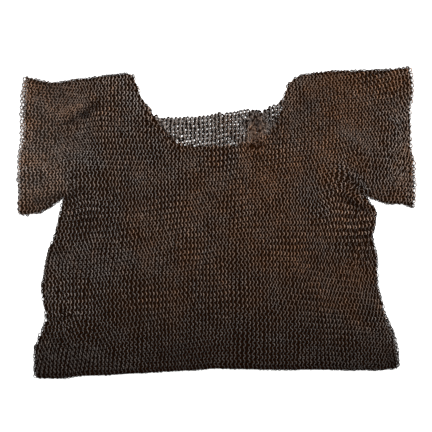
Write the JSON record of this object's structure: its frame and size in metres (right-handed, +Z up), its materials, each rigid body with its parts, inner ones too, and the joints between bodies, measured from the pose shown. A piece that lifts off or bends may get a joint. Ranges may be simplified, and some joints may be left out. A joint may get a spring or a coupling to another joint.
{
  "type": "mail shirt",
  "caption": "Short-sleeved mail shirt of linked iron rings, laid flat with its front up, with a wide low neck and open cuffs and hem.",
  "frame": {"origin": "under the middle of the laid-out shirt, on the surface it lies on", "axes": "+X across the shirt towards the sleeve on the right as seen from above, +Y from hem to neck, +Z up out of the front panel"},
  "size_m": [0.8356, 0.6526, 0.016],
  "materials": {
    "front_mail": "dark iron rings with worn grey edges and patches of brown rust",
    "back_mail": "dark grey iron rings, little rust",
    "sleeve_mail": "grey-brown iron rings with rust towards the shoulder fold"
  },
  "bodies": {
    "root": {"front": "front_mail", "back": "back_mail", "sleeve_left": "sleeve_mail", "sleeve_right": "sleeve_mail"}
  },
  "joints": []
}
